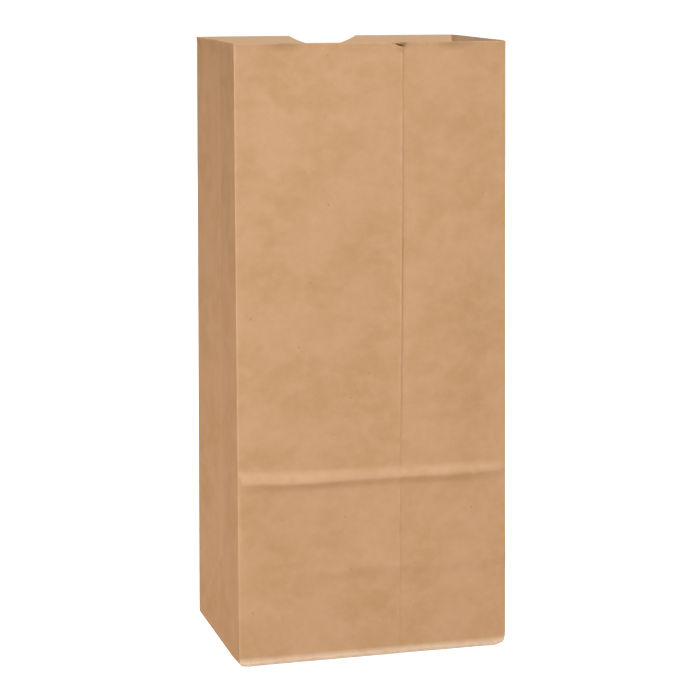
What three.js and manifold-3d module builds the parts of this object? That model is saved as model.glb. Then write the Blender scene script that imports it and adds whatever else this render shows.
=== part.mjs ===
// A brown paper lunch bag standing open. It is one sheet of kraft paper: lapped into a tube and glued
// along the front panel, creased into two side gussets, then folded shut underneath as a flat bottom.
// Millimetres, +Z up, origin under the middle of the bag, front panel on the -Y side.
import * as THREE from 'three';
import { mergeVertices } from 'three/addons/utils/BufferGeometryUtils.js';
import Module from 'manifold-3d';

// Driving dimensions
const HEIGHT = 340;
const WIDTH = 155; // along the front and back panels, at the bottom
const DEPTH = 105.2; // across the side gussets, at the bottom
const MOUTH_WIDTH = 151.5;
const MOUTH_DEPTH = 100.5;
const PAPER = 0.1; // one ply of the sheet

const FOLD_RADIUS = 3.5; // of the soft fold between the walls and the bottom
const BOTTOM_LAP = 20; // how far the back flap is glued over the front flap
const GUSSET_TUCK = 2.5; // how far a gusset's middle crease stands in from the panel corners
const PANEL_BOW = 3; // how far the front and back panels belly out at the mouth
const BOW_AT_IMPRINT = 0.8;
const IMPRINT_HEIGHT = 103; // crease that the flat-folded bottom's edge pressed into the front panel
const CREASE_REACH = 6; // how far above and below a crease the panel bends

// Creases across the panels, and how far each stands out. The front panel's are pressed through from
// behind, and the back panel's is the machine fold that lets the bottom fold flat against it.
const FRONT_CREASES = [
  { height: DEPTH / 2, ridge: 0.2 },
  { height: IMPRINT_HEIGHT, ridge: 0.6 },
];
const BACK_CREASES = [{ height: DEPTH / 2, ridge: -0.6 }];

const SEAM_LAP = 12; // width of the glued side seam
const SEAM_AT_FOOT = 0.6; // edge of the seam's outer ply, as a share of the front panel's width
const SEAM_AT_MOUTH = 0.612;
const SEAM_RUN_OUT = 25; // where the inner ply has come back out to the panel's face

const NOTCH_CHORD = 40; // thumb notch in the back panel's top edge
const NOTCH_DEPTH = 5.5;
const NOTCH_CENTRE = -1.5;

// Fineness of the faceted surface
const PANEL_COLUMNS = 8;
const GUSSET_COLUMNS = 8; // even, so that a column lies on the middle crease
const ARC_STEPS = 3;
const UPPER_STEPS = 5;
const NOTCH_STEPS = 120;

// Layers of the bottom, counted up from the underside
const LAYER = { backFlapEnd: 0, longFlaps: 1, wings: 2, sideFlaps: 3 };
const FLAP_LENGTH = (DEPTH + BOTTOM_LAP) / 2; // of the tube's end, below the bottom folds
const CLEAR = 5; // how far a cutting solid runs past what it cuts

const { lerp, clamp } = THREE.MathUtils;

// --- The walls' shape -------------------------------------------------------------------------

function panelBow(across, z) {
  const belly = Math.sin(Math.PI * across);
  if (z < IMPRINT_HEIGHT) return belly * BOW_AT_IMPRINT * (z / IMPRINT_HEIGHT);
  return belly * lerp(BOW_AT_IMPRINT, PANEL_BOW, (z - IMPRINT_HEIGHT) / (HEIGHT - IMPRINT_HEIGHT));
}

// Each crease fades out towards the panel's two edges.
function creaseRidge(across, z, creases) {
  let ridges = 0;
  for (const { height, ridge } of creases) {
    ridges += ridge * Math.max(0, 1 - Math.abs(z - height) / CREASE_REACH);
  }
  return Math.sin(Math.PI * across) * ridges;
}

// Each gusset bends in along two slanting creases, which rise at 45 degrees from its bottom corners,
// and above where they meet, along its middle crease.
function gussetTuck(fromNearCorner, z) {
  return (GUSSET_TUCK * Math.min(fromNearCorner, z)) / (DEPTH / 2);
}

function seamEdge(z) {
  return lerp(SEAM_AT_FOOT, SEAM_AT_MOUTH, z / HEIGHT);
}

// How deep the front panel's outer or inner skin lies behind its face, in plies. The outer ply of the
// seam ends at the seam's edge, and the inner ply starts one lap before it.
function pliesBehindFace(pastSeam, skin) {
  const innerPly = clamp(1 - pastSeam / SEAM_RUN_OUT, 0, 1);
  if (skin === 'outer') return pastSeam > 0 ? innerPly : 0;
  if (pastSeam > 0) return innerPly + 1;
  return pastSeam >= -SEAM_LAP ? 2 : 1;
}

// Places of the front panel's columns, 0 to 1. Each cut edge of the seam is a step one ply wide.
function frontColumns(width, z) {
  const edge = seamEdge(z);
  const start = edge - SEAM_LAP / width;
  const step = PAPER / width;
  const half = PANEL_COLUMNS / 2;
  const columns = [];
  for (let i = 0; i < half; i++) columns.push(((start - step) * i) / half);
  columns.push(start - step, start, edge);
  for (let i = 0; i < half; i++) columns.push(lerp(edge + step, 1, i / half));
  return columns;
}

function evenColumns(count) {
  return Array.from({ length: count }, (_, i) => i / count);
}

// One level of the walls as a closed ring of points, counter-clockwise from above, starting at the
// front left corner. Each point keeps how far across its side it lies.
function wallRing({ z, inset }, skin) {
  const rise = z / HEIGHT;
  const width = lerp(WIDTH, MOUTH_WIDTH, rise);
  const depth = lerp(DEPTH, MOUTH_DEPTH, rise);
  const x = width / 2 - inset;
  const y = depth / 2 - inset;
  const ply = skin === 'outer' ? 0 : PAPER;
  const ring = [];
  const add = (px, py, across) => ring.push({ point: new THREE.Vector3(px, py, z), across });

  for (const u of frontColumns(width, z)) {
    const pastSeam = (u - seamEdge(z)) * width;
    const behind = PAPER * pliesBehindFace(pastSeam, skin);
    const bow = panelBow(u, z) + creaseRidge(u, z, FRONT_CREASES);
    add(lerp(-x + ply, x - ply, u), -y - bow + behind, u);
  }
  for (const u of evenColumns(GUSSET_COLUMNS)) {
    const tuck = gussetTuck(Math.min(u, 1 - u) * depth, z);
    add(x - ply - tuck, lerp(-y + ply, y - ply, u), u);
  }
  for (const u of evenColumns(PANEL_COLUMNS)) {
    const bow = panelBow(u, z) + creaseRidge(u, z, BACK_CREASES);
    add(lerp(x - ply, -x + ply, u), y - ply + bow, u);
  }
  for (const u of evenColumns(GUSSET_COLUMNS)) {
    const tuck = gussetTuck(Math.min(u, 1 - u) * depth, z);
    add(-x + ply + tuck, lerp(y - ply, -y + ply, u), u);
  }
  return ring;
}

// Heights at which the upright walls are drawn: the steps of the gussets' slanting creases, each
// crease with its bend, and even steps up to the mouth.
function uprightHeights() {
  const heights = new Set();
  for (let i = 1; i <= GUSSET_COLUMNS / 2; i++) heights.add((DEPTH * i) / GUSSET_COLUMNS);
  for (const { height } of [...FRONT_CREASES, ...BACK_CREASES]) {
    for (const reach of [-CREASE_REACH, 0, CREASE_REACH]) heights.add(height + reach);
  }
  for (let i = 1; i <= UPPER_STEPS; i++) {
    heights.add(lerp(IMPRINT_HEIGHT, HEIGHT, i / UPPER_STEPS));
  }
  return [...heights].sort((a, b) => a - b);
}

// Each level of a skin: round the bottom fold, then up the walls.
function wallLevels(skin) {
  const foot = PAPER * LAYER.longFlaps;
  const radius = skin === 'outer' ? FOLD_RADIUS : FOLD_RADIUS - PAPER;
  const levels = [];
  for (let i = 0; i <= ARC_STEPS; i++) {
    const angle = (Math.PI / 2) * (i / ARC_STEPS);
    const z = foot + FOLD_RADIUS - radius * Math.cos(angle);
    levels.push({ z, inset: FOLD_RADIUS * (1 - Math.sin(angle)) });
  }
  return [...levels, ...uprightHeights().map((z) => ({ z, inset: 0 }))];
}

// --- Closed meshes ----------------------------------------------------------------------------

function quad(a, b, c, d, otherDiagonal) {
  return otherDiagonal ? [a, b, d, b, c, d] : [a, b, c, a, c, d];
}

function capFaces(ring, offset, facesUp) {
  const outline = ring.map(({ point }) => new THREE.Vector2(point.x, point.y));
  return THREE.ShapeUtils.triangulateShape(outline, []).flatMap(([a, b, c]) =>
    facesUp ? [offset + a, offset + b, offset + c] : [offset + c, offset + b, offset + a],
  );
}

// A solid skinned over rings of equal length, with flat ends. Past the middle of each side the quads
// are split the other way, so that the gussets' slanting creases are edges of the mesh.
function loft(rings) {
  const count = rings[0].length;
  const faces = [];
  for (let level = 0; level < rings.length - 1; level++) {
    for (let i = 0; i < count; i++) {
      const next = (i + 1) % count;
      const low = level * count;
      const high = low + count;
      const pastMiddle = rings[level][i].across >= 0.5;
      faces.push(...quad(low + i, low + next, high + next, high + i, pastMiddle));
    }
  }
  faces.push(...capFaces(rings[0], 0, false));
  faces.push(...capFaces(rings.at(-1), (rings.length - 1) * count, true));
  const points = rings.flatMap((ring) => ring.map(({ point }) => point));
  return new THREE.BufferGeometry().setFromPoints(points).setIndex(faces);
}

function extruded(outline, bottom, top) {
  const shape = new THREE.Shape(outline.map(([x, y]) => new THREE.Vector2(x, y)));
  const geometry = new THREE.ExtrudeGeometry(shape, { depth: top - bottom, bevelEnabled: false });
  return geometry.translate(0, 0, bottom);
}

const wasm = await Module();
wasm.setup();

function toSolid(geometry) {
  geometry.deleteAttribute('normal');
  geometry.deleteAttribute('uv');
  const merged = mergeVertices(geometry, 1e-4);
  const mesh = new wasm.Mesh({
    numProp: 3,
    vertProperties: new Float32Array(merged.attributes.position.array),
    triVerts: new Uint32Array(merged.index.array),
  });
  return new wasm.Manifold(mesh);
}

function toGeometry(solid) {
  const mesh = solid.getMesh();
  const geometry = new THREE.BufferGeometry();
  geometry.setAttribute('position', new THREE.BufferAttribute(mesh.vertProperties, 3));
  geometry.setIndex(new THREE.BufferAttribute(mesh.triVerts, 1));
  const flat = geometry.toNonIndexed();
  flat.computeVertexNormals();
  return flat;
}

// --- The bag's features -----------------------------------------------------------------------

function filledBag() {
  return toSolid(loft(wallLevels('outer').map((level) => wallRing(level, 'outer'))));
}

function hollow() {
  const rings = wallLevels('inner').map((level) => wallRing(level, 'inner'));
  const lifted = rings.at(-1).map(({ point, across }) => ({
    point: point.clone().setZ(HEIGHT + CLEAR),
    across,
  }));
  return toSolid(loft([...rings, lifted]));
}

function layerSolid(outline, layer) {
  return toSolid(extruded(outline, PAPER * layer, PAPER * (layer + 1)));
}

// The back flap's free end, glued under the front flap's. The long flaps' ends are mitred at 45 degrees.
function backFlapEnd() {
  const y = BOTTOM_LAP / 2;
  const narrow = WIDTH / 2 - FLAP_LENGTH;
  const wide = narrow + BOTTOM_LAP;
  const outline = [
    [-narrow, -y],
    [narrow, -y],
    [wide, y],
    [-wide, y],
  ];
  return layerSolid(outline, LAYER.backFlapEnd);
}

// The side flap is folded in first and lies on top. Its two wings run from the bottom's corners at
// 45 degrees, folded back between it and the long flaps.
function sideFlap(side) {
  const wall = (side * WIDTH) / 2;
  const end = wall - side * FLAP_LENGTH;
  const y = DEPTH / 2;
  const wing = (front) => [
    [wall, front * y],
    [end, front * y],
    [end, front * (y - FLAP_LENGTH)],
  ];
  const flap = [
    [wall, -y],
    [end, -y],
    [end, y],
    [wall, y],
  ];
  return layerSolid(flap, LAYER.sideFlaps)
    .add(layerSolid(wing(-1), LAYER.wings))
    .add(layerSolid(wing(1), LAYER.wings));
}

// Between the long flaps' mitred ends only the side flap closes the bottom.
function mitreRecess(side) {
  const wall = side * (WIDTH / 2 - FOLD_RADIUS);
  const y = DEPTH / 2 - FOLD_RADIUS;
  const outline = [
    [wall, -y],
    [wall - side * y, 0],
    [wall, y],
  ];
  return toSolid(extruded(outline, -CLEAR, PAPER * LAYER.sideFlaps));
}

function thumbNotch() {
  const radius = (NOTCH_CHORD ** 2 / 4 + NOTCH_DEPTH ** 2) / (2 * NOTCH_DEPTH);
  const length = DEPTH / 2;
  const cutter = new THREE.CylinderGeometry(radius, radius, length, NOTCH_STEPS);
  cutter.translate(NOTCH_CENTRE, DEPTH / 2, HEIGHT - NOTCH_DEPTH + radius);
  return toSolid(cutter);
}

function paperBag() {
  const filled = filledBag();
  let bag = filled.subtract(hollow());
  for (const side of [-1, 1]) {
    bag = bag.add(sideFlap(side).intersect(filled)).subtract(mitreRecess(side));
  }
  return bag.add(backFlapEnd()).subtract(thumbNotch());
}

const kraftPaper = new THREE.MeshStandardMaterial({
  color: 0xc99d73,
  roughness: 0.88,
  metalness: 0,
});

const bag = new THREE.Mesh(toGeometry(paperBag()), kraftPaper);
bag.name = 'paper_bag';

const group = new THREE.Group();
group.add(bag);

export default group;
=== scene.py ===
"""A brown paper lunch bag, standing open: one sheet scored and folded, its kraft paper, and a studio."""

import math

import bmesh
import bpy
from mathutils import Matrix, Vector, noise


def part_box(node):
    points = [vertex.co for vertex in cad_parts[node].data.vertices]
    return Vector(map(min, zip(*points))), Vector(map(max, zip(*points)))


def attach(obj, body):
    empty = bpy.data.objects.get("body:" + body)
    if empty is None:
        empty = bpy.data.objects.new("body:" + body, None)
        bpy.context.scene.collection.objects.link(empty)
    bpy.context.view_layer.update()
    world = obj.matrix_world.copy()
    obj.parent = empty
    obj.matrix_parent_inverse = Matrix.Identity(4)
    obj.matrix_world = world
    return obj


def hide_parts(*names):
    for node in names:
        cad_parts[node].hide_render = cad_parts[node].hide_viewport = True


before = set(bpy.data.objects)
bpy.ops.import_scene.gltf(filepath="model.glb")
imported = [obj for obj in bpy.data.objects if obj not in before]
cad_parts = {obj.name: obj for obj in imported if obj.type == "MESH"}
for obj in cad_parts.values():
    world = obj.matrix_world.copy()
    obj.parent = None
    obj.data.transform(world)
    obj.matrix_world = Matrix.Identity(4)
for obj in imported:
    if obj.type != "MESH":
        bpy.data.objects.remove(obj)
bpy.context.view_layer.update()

bl_info = {
    "name": "Folded Paper Bag",
    "version": (1, 0, 0),
    "blender": (4, 5, 0),
    "location": "3D View > Sidebar > Paper Bag",
    "description": "Folds a kraft paper bag from one flat sheet and sets up a plain studio for it",
    "category": "Add Mesh",
}

MM = 0.001
BAG_NODE = "paper_bag"
LOW, HIGH = (Vector(corner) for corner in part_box(BAG_NODE))

# How far each upright fold leans off a square plan, in millimetres in X and Y at the foot and at the mouth,
# by its side (-1 left, 1 right) and its end (-1 front, 1 back).
LEANS = {
    (-1, -1): ((1.6, 0.0), (0.55, -0.2)),
    (1, -1): ((0.9, 0.0), (-1.3, 0.3)),
    (-1, 1): ((-0.5, 0.0), (0.5, 0.1)),
    (1, 1): ((0.0, 0.0), (0.9, -0.4)),
}

CLOSE_COLUMNS = (0.35 * MM, 0.8 * MM, 1.5 * MM)  # from an upright crease to the mesh columns beside it
NOTCH_SHIFT = 1.5 * MM  # from the back panel's middle to the notch's, toward the bag's left
NOTCH_FACETS = 14  # straight cuts that make up the notch's arc
WALL_START = 12 * MM  # height at which the walls' relief has grown in fully
LEFT_CORNER_SHARE = 0.55  # how far the front's left bottom corner is worn, as a share of the right one
CREASE_PINCH = 0.22 * MM  # how far the sheet is drawn in along an upright crease
BACKDROP_LIFT = 1.8  # added to the air's strength where the camera sees it, which makes it white
AIM_OFFSET = Vector((1.1 * MM, -4.8 * MM, 0))  # from the bag's middle to the camera's aim, right and up


# --- Sizes and colours --------------------------------------------------------------------------


def length(name, description, default):
    return bpy.props.FloatProperty(
        name=name, description=description, default=default, min=0.0, precision=5, unit="LENGTH"
    )


def share(name, description, default):
    return bpy.props.FloatProperty(
        name=name, description=description, default=default, min=0.0, max=1.0, subtype="FACTOR"
    )


def colour(name, description, default):
    return bpy.props.FloatVectorProperty(
        name=name, description=description, default=default, size=3, min=0.0, max=1.0, subtype="COLOR"
    )


def power(name, description, default):
    return bpy.props.FloatProperty(name=name, description=description, default=default, min=0.0)


def turn(name, description, degrees):
    return bpy.props.FloatProperty(
        name=name, description=description, default=math.radians(degrees), subtype="ANGLE"
    )


class PaperBagSizes(bpy.types.PropertyGroup):
    height: length("Height", "From the table to the mouth", HIGH.z - LOW.z)
    width: length("Width", "Across the front panel at the foot", HIGH.x - LOW.x)
    depth: length("Depth", "Across a side gusset at the foot", 105 * MM)
    mouth_width: length("Mouth width", "Across the front panel at the mouth", 151.5 * MM)
    mouth_depth: length("Mouth depth", "Across a side gusset at the mouth", 100.5 * MM)
    paper: length("Paper", "Thickness of the sheet", 0.1 * MM)
    ply_gap: length("Ply gap", "From one ply to the next where plies lie on each other", 0.13 * MM)
    fold_radius: length("Fold radius", "Of the soft fold along the foot of the long panels", 3.5 * MM)
    sharp_radius: length("Sharp radius", "Of that fold at the corners and under the gussets", 2.6 * MM)
    soft_corner: length("Soft corner", "How far the front's right bottom corner is lifted", 1.4 * MM)
    bottom_lap: length("Bottom lap", "How far the back flap covers the front flap underneath", 20 * MM)
    left_tuck: length("Left tuck", "How far the left gusset's middle crease stands in", 2.5 * MM)
    right_tuck: length("Right tuck", "How far the right gusset's middle crease stands in", 0.5 * MM)
    belly: length("Belly", "How far the long panels stand out at the mouth", 2.6 * MM)
    imprint: length("Imprint", "Height of the crease pressed into the front panel", 103.2 * MM)
    ridge: length("Ridge", "How far that crease stands out at its left end", 2.6 * MM)
    flare: length("Flare", "How far the mouth's edge curls out where it is loosest", 2.2 * MM)
    seam_lift: length("Seam lift", "How far the seam's free edge stands off", 0.36 * MM)
    seam_gap: length("Seam gap", "How far the inner ply sinks beside that edge at most", 0.5 * MM)
    ear: length("Seam ear", "How far the seam's top corner is bent down", 2.8 * MM)
    seam_lap: length("Seam lap", "Width of the glued side seam", 12 * MM)
    seam_foot: share("Seam at foot", "Place of the seam's edge across the front panel", 0.594)
    seam_mouth: share("Seam at mouth", "Place of the seam's edge across the front panel", 0.609)
    notch_chord: length("Notch width", "Width of the thumb notch in the back panel", 40 * MM)
    notch_depth: length("Notch depth", "Depth of the thumb notch", 5.5 * MM)
    cell: length("Mesh cell", "Spacing of the mesh on the open panels", 2.7 * MM)


class KraftPaperColours(bpy.types.PropertyGroup):
    paper: colour("Paper", "Main brown of the paper", (0.523, 0.311, 0.166))
    ochre: colour("Ochre", "Yellower brown of its broad clouds", (0.481, 0.280, 0.135))
    blush: colour("Blush", "Pinker brown between the clouds", (0.542, 0.324, 0.182))
    fibre: colour("Fibre", "Pale fibres on its face", (0.660, 0.425, 0.250))
    # Partly scuffed paper, partly painted highlight: this pale colour also paints the floor's bounce and
    # reflection on the foot's fold and the light on the up-facing band above the front's crease.
    wear_and_highlight: colour("Worn", "Scuffed paper along the folds", (0.850, 0.660, 0.490))
    inside: colour("Inside", "The rougher, paler inside of the sheet", (0.590, 0.396, 0.236))
    # The inside is painted paler and yellower than the face; part of that is painted light, standing in for
    # light shining through the thin paper onto the inner faces.
    shive: colour("Shive", "Dark specks of bark and dark fibres", (0.400, 0.215, 0.098))
    roughness: share("Roughness", "Roughness of the paper's face", 0.66)


class StudioSettings(bpy.types.PropertyGroup):
    floor: colour("Floor", "Pale floor", (0.80, 0.78, 0.74))
    glow: power("Floor glow", "How far the floor is lifted to white in the picture", 1.0)
    sky: power("Sky", "Strength of the even light all round", 0.17)
    air: colour("Air", "Warm tint of that light", (1.0, 0.83, 0.60))
    key: power("Key", "Watts of the large softbox above the front", 94)
    back: power("Back", "Watts of the softbox behind the bag", 30)
    fill: power("Fill", "Watts of the low softbox on the left", 0.55)
    azimuth: turn("Azimuth", "Camera's turn round the bag", -15.12)
    elevation: turn("Elevation", "Camera's tilt", 10.57)
    distance: length("Distance", "From the camera to the middle of the bag", 1.1797)
    lens: power("Lens", "Focal length in millimetres", 106.95)


# --- The flat sheet -----------------------------------------------------------------------------


def lerp(start, end, amount):
    return start + (end - start) * amount


def smooth(low, high, value):
    amount = min(max((value - low) / (high - low), 0.0), 1.0)
    return amount * amount * (3 - 2 * amount)


def select_only(obj):
    if bpy.context.object and bpy.context.object.mode != "OBJECT":
        bpy.ops.object.mode_set(mode="OBJECT")
    bpy.ops.object.select_all(action="DESELECT")
    bpy.context.view_layer.objects.active = obj
    obj.select_set(True)


def spread(start, end, step):
    """Even places after start, up to and with end, about a step apart, or none if end isn't past start."""
    if end <= start:
        return []
    count = max(1, round((end - start) / step))
    return [lerp(start, end, (i + 1) / count) for i in range(count)]


class SheetPlan:
    """Where the panels lie on the flat sheet: along it, metres from the inner ply's free edge, which the
    outer ply will cover, and up it, metres from the fold round the foot."""

    def __init__(self, sizes):
        self.sizes = sizes
        seam = (sizes.seam_foot + sizes.seam_mouth) / 2
        widths = {
            "front_right": sizes.width * (1 - seam) + sizes.seam_lap,
            "right": sizes.depth,
            "back": sizes.width,
            "left": sizes.depth,
            "front_left": sizes.width * seam,
        }
        self.panels = {}
        start = 0.0
        for name, width in widths.items():
            self.panels[name] = (start, start + width)
            start += width
        self.length = start
        self.corners = self.panels["right"] + self.panels["left"]
        self.half_fold = math.pi / 4 * sizes.fold_radius
        self.flap = (sizes.depth + sizes.bottom_lap) / 2
        self.top = sizes.height - sizes.fold_radius + self.half_fold

    def panel_at(self, along):
        for name, (start, end) in self.panels.items():
            if along <= end:
                return name, min(max((along - start) / (end - start), 0.0), 1.0)
        return name, 1.0

    def from_corner(self, along):
        return min(abs(along - corner) for corner in self.corners)

    def columns(self):
        """Mesh columns, close together beside each upright crease and around the seam's free edge."""
        close = CLOSE_COLUMNS
        fine_cell = 0.8 * MM
        lap = self.sizes.seam_lap
        fine = {
            "front_right": (lap - 9 * MM, lap + 5 * MM),
            "front_left": (self.length - 8 * MM, self.length - close[-1]),
        }
        places = [0.0]
        for name, (start, end) in self.panels.items():
            first, last = start + close[-1], end - close[-1]
            fine_start, fine_end = fine.get(name, (first, first))
            places += [start + gap for gap in close]
            places += spread(first, fine_start, self.sizes.cell)
            places += spread(fine_start, fine_end, fine_cell)
            places += spread(fine_end, last, self.sizes.cell)
            places += [end - gap for gap in reversed(close[:-1])] + [end]
        return places

    def rows(self):
        """Mesh rows, close together round the foot, at the front's two level creases and at the mouth."""
        cell = self.sizes.cell
        stops = [(-self.flap, cell), (-self.half_fold, self.half_fold / 5), (self.half_fold, cell)]
        near, far = 1.5 * MM, 7 * MM
        for height in (self.sizes.imprint / 2, self.sizes.imprint):
            stops += [(height - far, 1.2 * MM), (height - near, 0.5 * MM)]
            stops += [(height + near, 1.2 * MM), (height + far, cell)]
        stops += [(self.top - 9 * MM, 0.9 * MM), (self.top - 4.5 * MM, 0.45 * MM), (self.top, cell)]
        places = [-self.flap]
        for (start, step), (end, _) in zip(stops, stops[1:]):
            places += spread(start, end, step)
        return places


def flat_sheet(plan):
    """A grid lying flat, X along the sheet and Y up it."""
    columns, rows = plan.columns(), plan.rows()
    bpy.ops.mesh.primitive_grid_add(
        x_subdivisions=len(columns) - 1,
        y_subdivisions=len(rows) - 1,
        size=plan.length,
        location=(0, 0, 0),
    )
    sheet = bpy.context.object
    for index, vertex in enumerate(sheet.data.vertices):
        row, column = divmod(index, len(columns))
        vertex.co = (columns[column], rows[row], 0)
    return sheet


def select_faces(sheet, wanted):
    mesh = bmesh.from_edit_mesh(sheet.data)
    for face in mesh.faces:
        face.select = wanted(face.calc_center_median())
    mesh.select_flush_mode()
    bmesh.update_edit_mesh(sheet.data)


def score(sheet, start, end, wanted):
    """A straight crease from start to end, cut into the faces that are wanted."""
    select_faces(sheet, wanted)
    across = Vector((end[1] - start[1], start[0] - end[0], 0)).normalized()
    bpy.ops.mesh.bisect(plane_co=(start[0], start[1], 0), plane_no=across, threshold=1e-6)


def score_gussets(sheet, plan):
    """In each gusset two creases rise at 45 degrees from its bottom corners to its middle."""
    half = plan.sizes.depth / 2
    for name in ("right", "left"):
        start, end = plan.panels[name]
        middle = (start + end) / 2
        for corner in (start, end):
            low, high = sorted((corner, middle))
            score(sheet, (corner, 0), (middle, half),
                  lambda centre: low < centre.x < high and 0 < centre.y < half)


def score_mitres(sheet, plan):
    """In the long flaps a crease runs inward from each bottom corner at 45 degrees."""
    squeeze = 1 - 2 * plan.sizes.fold_radius / plan.sizes.width
    deep = plan.flap - plan.half_fold
    reach = deep / squeeze
    corners = [(plan.panels["front_right"][1], -1), (plan.panels["back"][0], 1),
               (plan.panels["back"][1], -1), (plan.panels["front_left"][0], 1)]
    for corner, way in corners:
        low, high = sorted((corner, corner + way * reach))
        score(sheet, (corner, -plan.half_fold), (corner + way * reach, -plan.flap),
              lambda centre: low < centre.x < high and centre.y < -plan.half_fold)


def cut_notch(sheet, plan):
    """The thumb notch: faces inside all the straight facets of its arc are cut free and removed."""
    sizes = plan.sizes
    radius = (sizes.notch_chord**2 / 4 + sizes.notch_depth**2) / (2 * sizes.notch_depth)
    start, end = plan.panels["back"]
    centre = Vector(((start + end) / 2 + NOTCH_SHIFT, plan.top - sizes.notch_depth + radius, 0))
    half_angle = math.asin(sizes.notch_chord / 2 / radius)
    lines = []
    for i in range(NOTCH_FACETS):
        angle = lerp(-half_angle, half_angle, (i + 0.5) / NOTCH_FACETS)
        outward = Vector((math.sin(angle), -math.cos(angle), 0))
        lines.append((centre + outward * radius, outward))

    def inside(count):
        return lambda place: abs(place.x - centre.x) < sizes.notch_chord and all(
            (place - point).dot(outward) < 0 for point, outward in lines[:count]
        ) and place.y > plan.top - 2 * sizes.notch_depth

    for count, (point, outward) in enumerate(lines):
        select_faces(sheet, inside(count))
        bpy.ops.mesh.bisect(plane_co=point, plane_no=outward, threshold=1e-6)
    select_faces(sheet, inside(NOTCH_FACETS))
    bpy.ops.mesh.delete(type="FACE")


# --- Folding ------------------------------------------------------------------------------------


def foot_radius(plan, panel, along):
    """Radius of the foot's fold: sharp under the gussets and at the corners, soft between them."""
    if panel in ("right", "left"):
        return plan.sizes.sharp_radius
    soft = smooth(0, 16 * MM, plan.from_corner(along))
    return lerp(plan.sizes.sharp_radius, plan.sizes.fold_radius, soft)


def foot_profile(plan, radius, up):
    """How far in from the wall, how high, and how upright the sheet is, a way up it from the foot fold."""
    half_arc = math.pi / 4 * radius
    past_fold = up + plan.sizes.fold_radius - plan.half_fold - radius
    if past_fold >= 0:
        return 0.0, radius + past_fold, 1.0
    angle = math.pi / 2 + past_fold / radius
    if angle <= 0:
        return radius - (past_fold + 2 * half_arc), 0.0, 0.0
    return radius * (1 - math.sin(angle)), radius * (1 - math.cos(angle)), math.sin(angle)


def gusset_tuck(sizes, panel, from_corner, z):
    """How far a gusset stands in: most along its middle crease, above the two slanting ones."""
    tuck = sizes.left_tuck if panel == "left" else sizes.right_tuck
    return tuck * min(from_corner, z) / (sizes.depth / 2)


def soft_noise(place, size, seed):
    """Smooth noise between -1 and 1 over the sheet, with features of this size."""
    return noise.noise(Vector((place[0] / size, place[1] / size, seed * 7.3)))


def ramp_above(offset, reach):
    return max(0.0, 1 - offset / reach)


def hollow_below(offset, reach):
    return max(0.0, 1 + offset / reach) ** 2


def crest(offset, above, below):
    """A crease's section: a straight ramp down above its sharp crest, and a hollow curve below it."""
    return ramp_above(offset, above) if offset > 0 else hollow_below(offset, below)


def bump_at(value, centre, reach):
    """1 at the centre, smoothly down to 0 at the reach on either side."""
    return smooth(reach, 0, abs(value - centre))


def imprint_height(sizes, across):
    """The pressed crease isn't quite level: it climbs toward its left end."""
    return sizes.imprint - 0.5 * MM + 2.0 * MM * smooth(0.32, 0, across) ** 2


def imprint_section(offset, slow_share):
    """The crease's section: a ramp down above it, and below it a short hollow over a long slow fall."""
    if offset > 0:
        return ramp_above(offset, 6.3 * MM)
    return lerp(hollow_below(offset, 5.5 * MM), smooth(-45 * MM, 0, offset), slow_share)


def imprint_relief(sizes, across, z):
    """The crease left by folding the bag flat, rounded a little, and highest at the left."""
    offset = z - imprint_height(sizes, across)
    at_left = smooth(0.5, 0, across)
    strength = 0.60 + 0.80 * at_left + 0.16 * smooth(0.5, 0.85, across)
    strength *= smooth(1.0, 0.94, across) * smooth(0, 0.012, across)
    shifts = [shift * MM for shift in (-0.9, -0.3, 0.3, 0.9)]
    slow_share = 0.05 + 0.75 * smooth(0.4, 0, across) + 0.35 * smooth(0.6, 1, across)
    section = sum(imprint_section(offset + shift, slow_share) for shift in shifts) / 4
    return strength * sizes.ridge * section


def mouth_flare(sizes, across, z):
    """The mouth's edge curls out in two loose stretches and at the seam."""
    loose = max(bump_at(across, 0.17, 0.13), bump_at(across, 0.8, 0.13), 0.15)
    loose = max(loose, 0.8 * bump_at(across, sizes.seam_mouth, 0.06))
    return loose * sizes.flare * smooth(sizes.height - 7 * MM, sizes.height + 2 * MM, z) ** 2


def front_relief(sizes, across, z):
    """How far the front panel stands out: its belly, its creases and its curled mouth."""
    rise = smooth(0, sizes.height, z)
    belly = sizes.belly * rise * math.sin(math.pi * across**0.85)
    swell = 2 * MM * smooth(0.5, 0.75, across) * smooth(1.0, 0.8, across)
    belly += swell * math.sin(math.pi * z / sizes.height)
    faint = 0.9 * MM * smooth(0.15, 0.4, across) * lerp(1.0, 0.6, smooth(0.6, 0.9, across))
    offsets = [z - sizes.imprint / 2 + shift * MM for shift in (-1.5, 0, 1.5)]
    faint *= sum(crest(offset, 18 * MM, 8 * MM) for offset in offsets) / 3
    return belly + imprint_relief(sizes, across, z) + faint + mouth_flare(sizes, across, z)


def mouth_curl(sizes, z):
    """How far the mouth's edge curls out on the back panel and the gussets."""
    return 1.7 * MM * smooth(sizes.height - 11 * MM, sizes.height + 2 * MM, z) ** 2


def back_relief(sizes, across, z):
    """The back panel's belly, its curled mouth, and the machine fold that stands in across it."""
    rise = smooth(0, sizes.height, z)
    belly = sizes.belly * 1.1 * rise * math.sin(math.pi * across)
    fold = -0.8 * MM * crest(z - sizes.depth / 2, 8 * MM, 6 * MM)
    return belly + fold + mouth_curl(sizes, z)


def waves(place, z, sizes, seed):
    """Slack of the paper, broad and then finer, growing away from the foot."""
    slack = lerp(0.45, 1.0, smooth(0, sizes.height, z))
    broad = 1.6 * MM * soft_noise(place, 85 * MM, seed)
    middle = 0.40 * MM * soft_noise(place, 34 * MM, seed + 1)
    fine = 0.06 * MM * soft_noise(place, 13 * MM, seed + 2)
    return slack * (broad + middle) + fine


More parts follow.
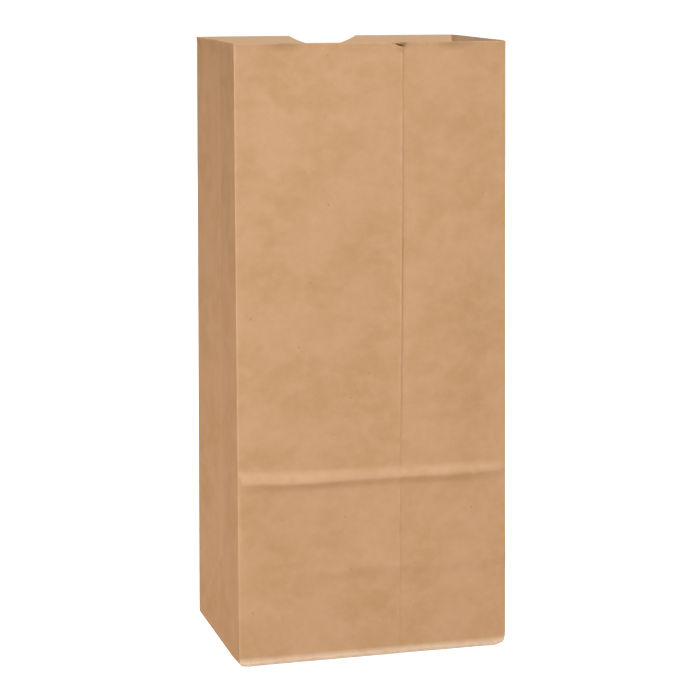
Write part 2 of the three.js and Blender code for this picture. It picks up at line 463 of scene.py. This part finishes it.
def wall_place(plan, panel, across, flat):
    """The foot fold's section here, the bag's half-sizes at this height, half the panel's own width, and
    the places along the panel, from its middle, of the point and of the seam's edge."""
    sizes = plan.sizes
    inset, z, upright = foot_profile(plan, foot_radius(plan, panel, flat[0]), flat[1])
    rise = z / sizes.height
    half_width = lerp(sizes.width, sizes.mouth_width, rise) / 2
    half_depth = lerp(sizes.depth, sizes.mouth_depth, rise) / 2
    seam = lerp(-half_width, half_width, lerp(sizes.seam_foot, sizes.seam_mouth, rise))
    ends = {
        "front_right": (seam - sizes.seam_lap, half_width),
        "right": (-half_depth, half_depth),
        "back": (half_width, -half_width),
        "left": (half_depth, -half_depth),
        "front_left": (-half_width, seam),
    }
    along = lerp(*ends[panel], across)
    half = half_width if panel in ("front_right", "back", "front_left") else half_depth
    squeezed = along * (half - min(inset, sizes.fold_radius)) / half
    return inset, z, upright, half_width, half_depth, half, squeezed, seam


def bottom_layer(plan, panel, inset, past_mitre):
    """Which ply of the bottom this is, counted up from the table."""
    if panel in ("right", "left"):
        return 3.0
    if past_mitre > 0:
        return 1.0 + smooth(0, 2 * MM, past_mitre)
    lap_start = plan.sizes.depth - plan.flap
    if panel == "back":
        return 1.0 - smooth(lap_start - 1.5 * MM, lap_start, inset)
    return 1.0


def under_ply(panel, along, seam):
    """How many plies the inner ply lies behind the panel's face: one under the lap, fading to none."""
    if panel != "front_right":
        return 0.0
    return 1 - smooth(0, 25 * MM, along - seam)


def seam_lift(plan, panel, along, seam, z):
    """The outer ply's free edge stands off a little, more above the pressed crease and at the mouth."""
    if panel != "front_left":
        return 0.0
    sizes = plan.sizes
    near_edge = smooth(1.1 * MM, 0, seam - along)
    curl = smooth(sizes.height - 9 * MM, sizes.height, z) * smooth(9 * MM, 0, seam - along)
    free = lerp(0.3, 1.0, smooth(sizes.imprint, sizes.imprint + 110 * MM, z))
    return (near_edge * free + 0.4 * curl) * sizes.seam_lift


def seam_sink(plan, panel, along, seam, z):
    """The inner ply sinks beside that edge, most where the seam gapes, above the middle of the bag."""
    if panel != "front_right":
        return 0.0
    sizes = plan.sizes
    gape = lerp(0.2, 1.0, bump_at(z, 0.62 * sizes.height, 0.36 * sizes.height))
    return sizes.seam_gap * gape * smooth(4 * MM, 0, along - seam)


def lap_lip(plan, panel, along, seam, z):
    """Behind the outer ply's top corner the inner ply is crumpled: its lip hangs over a hollow."""
    if panel != "front_right":
        return 0.0
    here = bump_at(along, seam - 2.8 * MM, 5.5 * MM)
    down = plan.sizes.height - z
    lip = smooth(1.3 * MM, 0.3 * MM, down)
    hollow = smooth(0.6 * MM, 1.4 * MM, down) * smooth(5 * MM, 2.2 * MM, down)
    return here * (1.2 * lip - 0.8 * hollow) * MM


def ear_dip(plan, panel, along, seam, z):
    """The outer ply's top corner at the seam is bent down, so its top edge slants."""
    if panel != "front_left":
        return 0.0
    sizes = plan.sizes
    slant = max(0.0, 1 - (seam - along) / (5.4 * MM)) ** 0.6
    return sizes.ear * slant * smooth(sizes.height - 9 * MM, sizes.height, z)


def corner_lean(half_width, half_depth, x, y, rise):
    """The bag isn't quite square: each upright fold leans its own way, and the walls go with it."""
    shift = Vector((0, 0))
    for (side, end), (foot, mouth) in LEANS.items():
        share_here = (1 + side * x / half_width) * (1 + end * y / half_depth) / 4
        shift += Vector(foot).lerp(Vector(mouth), rise) * share_here * MM
    return shift


def square_point(plan, flat):
    """The place of a point of the flat sheet on a bag with square corners."""
    sizes = plan.sizes
    panel, across = plan.panel_at(flat[0])
    inset, z, upright, half_width, half_depth, half, along, seam = wall_place(plan, panel, across, flat)
    from_corner = half - abs(along)
    long_panel = half == half_width
    past_mitre = inset - from_corner if long_panel and upright == 0 else 0.0
    layer = bottom_layer(plan, panel, inset, past_mitre)
    behind = under_ply(panel, along, seam)

    out = 0.0
    if upright == 1.0:
        grown = smooth(sizes.fold_radius, WALL_START, z)
        loose = smooth(0, 14 * MM, from_corner) * smooth(sizes.fold_radius, 30 * MM, z)
        if panel in ("front_right", "front_left"):
            panel_across = along / (2 * half_width) + 0.5
            out = front_relief(sizes, panel_across, z) * grown
            out += loose * waves((along, z), z, sizes, 1)
        elif panel == "back":
            out = back_relief(sizes, across, z) * grown
            out += loose * waves((along, z), z, sizes, 5)
        else:
            out = mouth_curl(sizes, z) * smooth(0, 12 * MM, from_corner)
            out -= gusset_tuck(sizes, panel, from_corner, z)
            out += 0.6 * loose * waves((along, z), z, sizes, 9 if panel == "left" else 13)
        out += seam_lift(plan, panel, along, seam, z) + lap_lip(plan, panel, along, seam, z)
        out -= seam_sink(plan, panel, along, seam, z) * grown
        z -= ear_dip(plan, panel, along, seam, z)
    crease = CREASE_PINCH * math.exp(-((from_corner / (0.6 * MM)) ** 2)) * upright
    inward = inset - out + crease + behind * sizes.ply_gap * upright
    z += sizes.ply_gap * (layer + behind) * (1 - upright)

    if past_mitre > 0:
        side = 1 if along > 0 else -1
        x = side * (half_width - inset)
        y = half_depth - from_corner
        return Vector((x, y if panel == "back" else -y, z))
    if long_panel:
        y = half_depth - inward
        return Vector((along, y if panel == "back" else -y, z))
    x = half_width - inward
    return Vector((x if panel == "right" else -x, along, z))


def soften_corner(sizes, place):
    """The front's bottom corners are rounded off and pull in a little, furthest along the gussets."""
    side = math.copysign(1, place.x)
    from_corner = place - Vector((side * sizes.width / 2, -sizes.depth / 2, 0))
    reach = Vector((from_corner.x / (7 * MM), from_corner.y / (20 * MM), from_corner.z / (9 * MM)))
    lift = sizes.soft_corner * (1.0 if side > 0 else LEFT_CORNER_SHARE)
    return smooth(1, 0, reach.length) * lift * Vector((-0.4 * side, 0.25, 1))


def fold_point(plan, flat):
    """The place in space of a point of the flat sheet."""
    sizes = plan.sizes
    place = square_point(plan, flat)
    place += soften_corner(sizes, place)
    rise = place.z / sizes.height
    half_width = lerp(sizes.width, sizes.mouth_width, rise) / 2
    half_depth = lerp(sizes.depth, sizes.mouth_depth, rise) / 2
    shift = corner_lean(half_width, half_depth, place.x, place.y, rise)
    return place + shift.to_3d()


def across_front(plan, panel, along):
    """Place across the whole front panel, 0 at its left, of a point on one of its two plies."""
    start, end = plan.panels[panel]
    if panel == "front_right":
        return 1 - (end - along) / plan.sizes.width
    return (along - start) / plan.sizes.width


def wear_and_painted_highlight(plan, flat):
    """How much paler the sheet is painted here, from 0 to 1: scuffed wear along its folds and creases,
    together with painted highlight: a bright strip along the foot's fold for the floor's bounce and
    reflection, a band above the front's pressed crease for light on its upward slope, and thin lines along
    the upright creases partly for their rounded edges catching the light.
    """
    panel, _ = plan.panel_at(flat[0])
    gap = plan.from_corner(flat[0])
    # Thin pale lines along the upright creases: partly wear, partly painted highlight for their rounded
    # edges catching the light.
    upright = 0.10 * math.exp(-((gap / (0.75 * MM)) ** 2))
    upright = max(upright, 0.15 * smooth(plan.top - 1.2 * MM, plan.top, flat[1]))
    if panel in ("right", "left"):
        half = plan.sizes.depth / 2
        crease = abs(gap - flat[1]) if flat[1] < half else half - gap
        return max(upright, 0.07 * math.exp(-((crease / (0.9 * MM)) ** 2)))
    # Painted highlight: a pale strip along the foot's fold stands in for the bright floor's bounce and
    # reflection on its underside.
    foot = bump_at(flat[1], 0.6 * MM, 4.6 * MM)
    if panel == "back":
        return max(upright, foot)
    front_across = across_front(plan, panel, flat[0])
    # Painted highlight: a pale band above the front's pressed crease stands in for light on its
    # upward-facing slope.
    crest_highlight = 0.10 * bump_at(flat[1], imprint_height(plan.sizes, front_across) + 2.5 * MM, 4 * MM)
    return max(upright, foot, crest_highlight)


def fold_up(sheet, plan):
    """Keeps the flat sheet as the UV map and the wear with its painted highlight as an attribute, then
    folds every point.
    """
    flat = [vertex.co.to_2d() for vertex in sheet.data.vertices]
    uv = sheet.data.uv_layers.active or sheet.data.uv_layers.new(name="Flat sheet")
    uv.name = "Flat sheet"
    for loop in sheet.data.loops:
        place = flat[loop.vertex_index]
        uv.data[loop.index].uv = (place[0] / plan.length, (place[1] + plan.flap) / plan.length)
    wear = sheet.data.attributes.new("wear_and_painted_highlight", "FLOAT", "POINT")
    for index, place in enumerate(flat):
        wear.data[index].value = wear_and_painted_highlight(plan, place)
        sheet.data.vertices[index].co = fold_point(plan, place)


def give_thickness(sheet, sizes):
    """Thickens the sheet inward, and marks its inner skin with an attribute."""
    outer_count = len(sheet.data.vertices)
    select_only(sheet)
    solidify = sheet.modifiers.new("Paper", "SOLIDIFY")
    solidify.thickness = sizes.paper
    solidify.offset = -1
    solidify.use_even_offset = False
    bpy.ops.object.modifier_apply(modifier=solidify.name)
    inner = sheet.data.attributes.new("inner_skin", "FLOAT", "POINT")
    for index in range(outer_count, len(sheet.data.vertices)):
        inner.data[index].value = 1.0
    bpy.ops.object.shade_smooth_by_angle(angle=math.radians(35))


# --- Kraft paper --------------------------------------------------------------------------------


def new_material(name):
    material = bpy.data.materials.new(name)
    material.use_nodes = True
    return material, material.node_tree, material.node_tree.nodes["Principled BSDF"]


def add_noise(tree, vector, scale, detail, roughness, stretch=(1, 1, 1)):
    mapping = tree.nodes.new("ShaderNodeMapping")
    mapping.inputs["Scale"].default_value = stretch
    tree.links.new(vector, mapping.inputs["Vector"])
    texture = tree.nodes.new("ShaderNodeTexNoise")
    texture.inputs["Scale"].default_value = scale
    texture.inputs["Detail"].default_value = detail
    texture.inputs["Roughness"].default_value = roughness
    tree.links.new(mapping.outputs["Vector"], texture.inputs["Vector"])
    return texture.outputs["Fac"]


def add_range(tree, value, low, high, to_low=0.0, to_high=1.0):
    node = tree.nodes.new("ShaderNodeMapRange")
    node.interpolation_type = "SMOOTHSTEP"
    for name, number in (("From Min", low), ("From Max", high), ("To Min", to_low), ("To Max", to_high)):
        node.inputs[name].default_value = number
    tree.links.new(value, node.inputs["Value"])
    return node.outputs["Result"]


def add_mix(tree, factor, first, second):
    node = tree.nodes.new("ShaderNodeMix")
    node.data_type = "RGBA"
    tree.links.new(factor, node.inputs["Factor"])
    for socket, value in ((node.inputs["A"], first), (node.inputs["B"], second)):
        if isinstance(value, bpy.types.NodeSocket):
            tree.links.new(value, socket)
        else:
            socket.default_value = (*value, 1)
    return node.outputs["Result"]


def add_math(tree, operation, first, second):
    node = tree.nodes.new("ShaderNodeMath")
    node.operation = operation
    for socket, value in zip(node.inputs, (first, second)):
        if isinstance(value, bpy.types.NodeSocket):
            tree.links.new(value, socket)
        else:
            socket.default_value = value
    return node.outputs["Value"]


def add_attribute(tree, name):
    node = tree.nodes.new("ShaderNodeAttribute")
    node.attribute_name = name
    return node.outputs["Fac"]


def add_specks(tree, vector, scale, share_of_cells, size):
    """Scattered specks: most cells of a Voronoi pattern stay empty."""
    cells = tree.nodes.new("ShaderNodeTexVoronoi")
    cells.inputs["Scale"].default_value = scale
    tree.links.new(vector, cells.inputs["Vector"])
    parts = tree.nodes.new("ShaderNodeSeparateColor")
    tree.links.new(cells.outputs["Color"], parts.inputs["Color"])
    chosen = add_range(tree, parts.outputs["Red"], 1 - share_of_cells, 1 - share_of_cells / 3)
    spot = add_range(tree, cells.outputs["Distance"], size * 0.4, size, 1, 0)
    return add_math(tree, "MULTIPLY", chosen, spot)


def kraft_paper(colours, plan):
    """Unbleached paper: clouds, mottling, pale fibres up the sheet and dark ones along it, bark specks,
    a paler inside that is partly painted light for light through the thin paper, and pale folds that
    are partly scuffed wear and partly painted highlight."""
    material, tree, shader = new_material("Kraft paper")
    flat = tree.nodes.new("ShaderNodeUVMap")
    flat.uv_map = "Flat sheet"
    metres = tree.nodes.new("ShaderNodeMapping")
    metres.inputs["Scale"].default_value = (plan.length, plan.length, 1)
    tree.links.new(flat.outputs["UV"], metres.inputs["Vector"])
    sheet = metres.outputs["Vector"]

    clouds = add_noise(tree, sheet, scale=30, detail=3, roughness=0.5)
    blush = add_noise(tree, sheet, scale=75, detail=4, roughness=0.55, stretch=(1, 1.2, 1))
    mottle = add_noise(tree, sheet, scale=190, detail=4, roughness=0.5)
    fibres = add_noise(tree, sheet, scale=1100, detail=3, roughness=0.65, stretch=(1.8, 0.35, 1))
    cross = add_noise(tree, sheet, scale=900, detail=2, roughness=0.6, stretch=(0.3, 1.8, 1))

    base = add_mix(tree, add_range(tree, clouds, 0.35, 0.65), colours.ochre, colours.paper)
    base = add_mix(tree, add_range(tree, blush, 0.4, 0.7, to_high=0.68), base, colours.blush)
    base = add_mix(tree, add_range(tree, mottle, 0.35, 0.75, to_high=0.13), base, colours.fibre)
    base = add_mix(tree, add_range(tree, fibres, 0.5, 0.85, to_high=0.26), base, colours.fibre)
    base = add_mix(tree, add_range(tree, cross, 0.55, 0.85, to_high=0.2), base, colours.shive)
    specks = add_specks(tree, sheet, scale=300, share_of_cells=0.04, size=0.2)
    base = add_mix(tree, specks, base, colours.shive)

    patchy = add_range(tree, mottle, 0.3, 0.6, 0.75, 1.0)
    # Painted light in part: the paler inside colour also stands in for light shining through the thin
    # walls.
    inner = add_math(tree, "MULTIPLY", add_attribute(tree, "inner_skin"), 0.9)
    base = add_mix(tree, inner, base, colours.inside)
    # Painted highlight and wear: the folds and the band above the crease are mixed toward the pale colour
    # where the attribute is set.
    wear_and_highlight = add_math(tree, "MULTIPLY", add_attribute(tree, "wear_and_painted_highlight"), patchy)
    base = add_mix(tree, wear_and_highlight, base, colours.wear_and_highlight)
    tree.links.new(base, shader.inputs["Base Color"])

    rough = add_range(tree, mottle, 0.3, 0.7, colours.roughness - 0.04, colours.roughness + 0.06)
    tree.links.new(rough, shader.inputs["Roughness"])
    shader.inputs["Specular IOR Level"].default_value = 0.1

    upward = add_math(tree, "MULTIPLY", fibres, 0.3)
    sideways = add_math(tree, "MULTIPLY", cross, 0.2)
    weave = add_math(tree, "ADD", upward, sideways)
    height = add_math(tree, "ADD", weave, mottle)
    bump = tree.nodes.new("ShaderNodeBump")
    bump.inputs["Distance"].default_value = 0.15 * MM
    bump.inputs["Strength"].default_value = 0.35
    tree.links.new(height, bump.inputs["Height"])
    tree.links.new(bump.outputs["Normal"], shader.inputs["Normal"])
    return material


# --- Operators ----------------------------------------------------------------------------------


class PAPERBAG_OT_bag(bpy.types.Operator):
    """Score, cut and fold the sheet into the standing bag"""

    bl_idname = "paper_bag.bag"
    bl_label = "Fold Paper Bag"

    def execute(self, context):
        sizes = context.scene.paper_bag_sizes
        plan = SheetPlan(sizes)
        bpy.ops.object.select_all(action="DESELECT")
        sheet = flat_sheet(plan)
        sheet.name = sheet.data.name = "kraft_paper_bag"
        select_only(sheet)
        bpy.ops.object.mode_set(mode="EDIT")
        bpy.ops.mesh.select_mode(type="FACE")
        score_gussets(sheet, plan)
        score_mitres(sheet, plan)
        cut_notch(sheet, plan)
        bpy.ops.object.mode_set(mode="OBJECT")
        fold_up(sheet, plan)
        give_thickness(sheet, sizes)
        sheet.data.materials.append(kraft_paper(context.scene.paper_bag_colours, plan))
        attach(sheet, "root")
        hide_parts(BAG_NODE)
        return {"FINISHED"}


def seen_directly(tree, strength, extra):
    """A strength that is raised by extra where the camera sees the surface directly."""
    path = tree.nodes.new("ShaderNodeLightPath")
    lift = add_math(tree, "MULTIPLY", path.outputs["Is Camera Ray"], extra)
    return add_math(tree, "ADD", lift, strength)


def pale_floor(studio):
    """Plain pale floor, lifted to white where the camera sees it."""
    material, tree, shader = new_material("Pale floor")
    shader.inputs["Base Color"].default_value = (*studio.floor, 1)
    shader.inputs["Roughness"].default_value = 0.9
    shader.inputs["Specular IOR Level"].default_value = 0.1
    shader.inputs["Emission Color"].default_value = (1, 1, 1, 1)
    tree.links.new(seen_directly(tree, 0.0, studio.glow), shader.inputs["Emission Strength"])
    return material


def studio_air(studio):
    """Even, slightly warm light from all round, white where the camera sees it."""
    world = bpy.data.worlds.new("Studio air")
    world.use_nodes = True
    background = world.node_tree.nodes["Background"]
    background.inputs["Color"].default_value = (*studio.air, 1)
    strength = seen_directly(world.node_tree, studio.sky, BACKDROP_LIFT)
    world.node_tree.links.new(strength, background.inputs["Strength"])
    return world


def softbox(name, place, aim, size, watts, tint):
    """A rectangular lamp, size wide and high, that the camera doesn't see."""
    bpy.ops.object.light_add(type="AREA", location=place)
    lamp = bpy.context.object
    lamp.name = name
    lamp.data.shape = "RECTANGLE"
    lamp.data.size, lamp.data.size_y = size
    lamp.data.energy = watts
    lamp.data.color = tint
    lamp.visible_camera = False
    lamp.rotation_euler = (Vector(aim) - Vector(place)).to_track_quat("-Z", "Y").to_euler()


class PAPERBAG_OT_studio(bpy.types.Operator):
    """Lay a pale floor, set up three softboxes and place the camera"""

    bl_idname = "paper_bag.studio"
    bl_label = "Set Up Studio"

    def execute(self, context):
        studio = context.scene.paper_bag_studio
        bpy.ops.object.select_all(action="DESELECT")
        bpy.ops.mesh.primitive_plane_add(size=60, location=(0, 0, LOW.z))
        floor = context.object
        floor.name = "floor"
        floor.data.materials.append(pale_floor(studio))

        context.scene.world = studio_air(studio)

        middle = Vector((0, 0, (LOW.z + HIGH.z) / 2))
        softbox("Key", (-0.58, -1.63, 2.5), middle, size=(1.6, 1.2), watts=studio.key,
                tint=(0.96, 1.0, 1.075))
        softbox("Back", (0.45, 2.0, 1.5), middle, size=(1.2, 1.0), watts=studio.back,
                tint=(1.0, 0.88, 0.72))
        softbox("Fill", (-0.5, -0.15, 0.04), middle, size=(0.4, 0.12), watts=studio.fill,
                tint=(1.0, 0.82, 0.62))

        turned, tilt = studio.azimuth, studio.elevation
        level = math.cos(tilt)
        ahead = Vector((-math.sin(turned) * level, math.cos(turned) * level, -math.sin(tilt)))
        look = ahead.to_track_quat("-Z", "Y")
        aim = middle + look @ AIM_OFFSET
        bpy.ops.object.camera_add(location=aim - ahead * studio.distance, rotation=look.to_euler())
        camera = context.object
        camera.name = "Camera"
        camera.data.lens = studio.lens
        camera.data.sensor_width = 36
        camera.data.clip_end = 200
        context.scene.camera = camera
        context.scene.view_settings.view_transform = "Standard"
        return {"FINISHED"}


class PAPERBAG_PT_sidebar(bpy.types.Panel):
    """Sizes, colours and steps of the paper bag"""

    bl_idname = "PAPERBAG_PT_sidebar"
    bl_label = "Paper Bag"
    bl_space_type = "VIEW_3D"
    bl_region_type = "UI"
    bl_category = "Paper Bag"

    def draw(self, context):
        scene = context.scene
        for operator, settings in (
            (PAPERBAG_OT_bag, scene.paper_bag_sizes),
            (None, scene.paper_bag_colours),
            (PAPERBAG_OT_studio, scene.paper_bag_studio),
        ):
            box = self.layout.box()
            for name in settings.bl_rna.properties.keys():
                if name not in ("rna_type", "name"):
                    box.prop(settings, name)
            if operator:
                box.operator(operator.bl_idname)


CLASSES = (
    PaperBagSizes,
    KraftPaperColours,
    StudioSettings,
    PAPERBAG_OT_bag,
    PAPERBAG_OT_studio,
    PAPERBAG_PT_sidebar,
)


def register():
    for cls in CLASSES:
        bpy.utils.register_class(cls)
    bpy.types.Scene.paper_bag_sizes = bpy.props.PointerProperty(type=PaperBagSizes)
    bpy.types.Scene.paper_bag_colours = bpy.props.PointerProperty(type=KraftPaperColours)
    bpy.types.Scene.paper_bag_studio = bpy.props.PointerProperty(type=StudioSettings)


def unregister():
    del bpy.types.Scene.paper_bag_studio
    del bpy.types.Scene.paper_bag_colours
    del bpy.types.Scene.paper_bag_sizes
    for cls in reversed(CLASSES):
        bpy.utils.unregister_class(cls)


def main():
    register()
    bpy.ops.paper_bag.studio()
    bpy.ops.paper_bag.bag()


if __name__ == "__main__":
    main()
